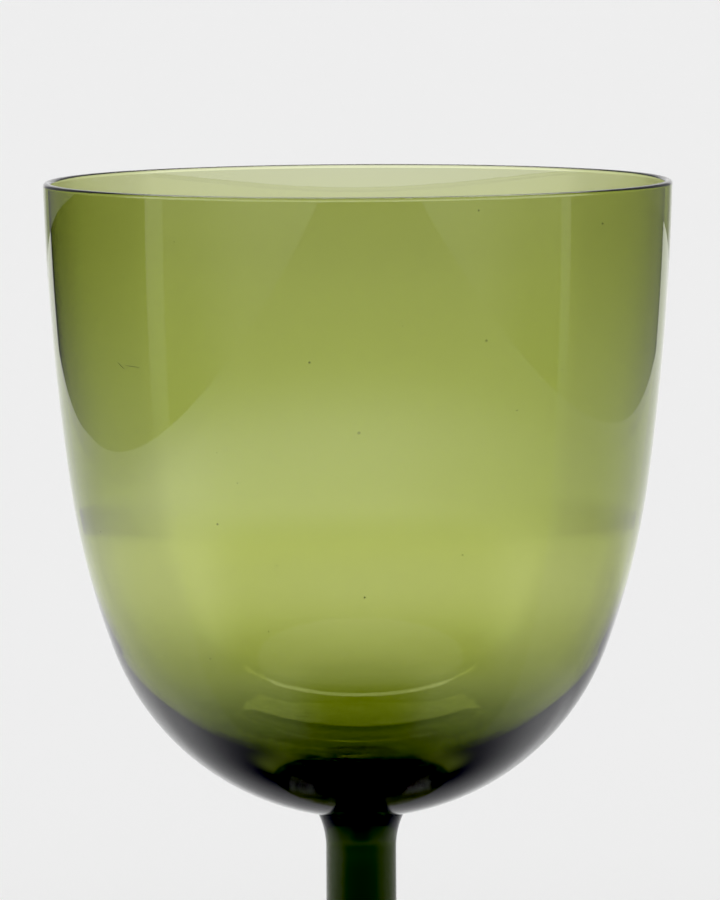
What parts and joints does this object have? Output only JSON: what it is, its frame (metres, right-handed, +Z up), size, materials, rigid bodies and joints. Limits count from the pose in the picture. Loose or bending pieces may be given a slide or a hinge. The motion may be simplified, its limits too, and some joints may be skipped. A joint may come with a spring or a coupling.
{
  "type": "wine glass",
  "caption": "Short-stemmed wine glass in olive green glass: a wide egg-shaped bowl with a thick base, a plain round stem and a small disc foot.",
  "frame": {"origin": "centre of the foot, on the plane it stands on", "axes": "+Z up along the stem's axis, from the foot to the rim; X and Y are level and interchangeable"},
  "size_m": [0.088, 0.088, 0.12],
  "materials": {
    "olive_glass": "clear blown soda-lime glass coloured olive green in the mass, fire-polished and smooth"
  },
  "bodies": {
    "root": {"bowl": "olive_glass", "stem": "olive_glass", "foot": "olive_glass"}
  },
  "joints": []
}
